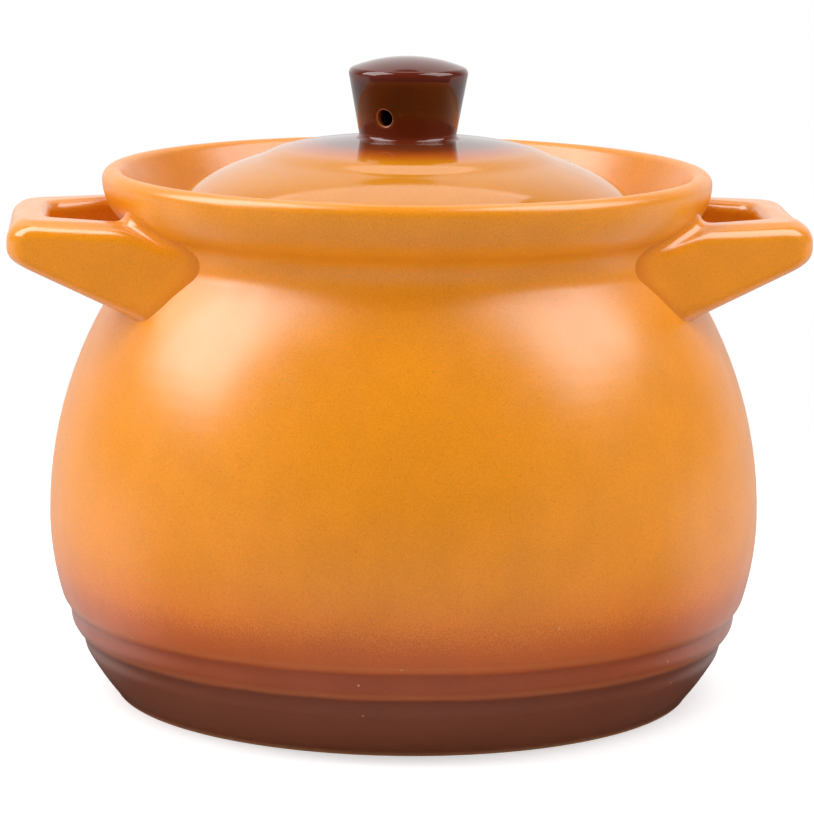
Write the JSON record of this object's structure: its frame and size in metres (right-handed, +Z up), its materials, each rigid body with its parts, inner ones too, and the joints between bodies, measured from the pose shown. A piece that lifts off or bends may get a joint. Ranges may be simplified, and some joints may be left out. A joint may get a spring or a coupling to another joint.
{
  "type": "cooking pot",
  "caption": "Round-bellied glazed ceramic cooking pot with a flared rim, ear handles with finger gaps, and a domed lift-off lid with a hollow vented knob.",
  "frame": {"origin": "centre of the plane that the foot stands on", "axes": "+X through the right handle, +Y to the back, +Z up along the pot's axis"},
  "size_m": [0.24, 0.216, 0.1935],
  "materials": {
    "body_glaze": "satin",
    "lid_glaze": "gloss",
    "knob_glaze": "gloss"
  },
  "bodies": {
    "pot": {"pot_body": "body_glaze", "right_handle": "body_glaze", "left_handle": "body_glaze"},
    "lid": {"lid_dome": "lid_glaze", "lid_knob": "knob_glaze"}
  },
  "joints": [
    {"name": "lid_lift", "type": "slide", "parent": "pot", "child": "lid", "axis": [0, 0, 1], "range_m": [0, 0.12]}
  ]
}
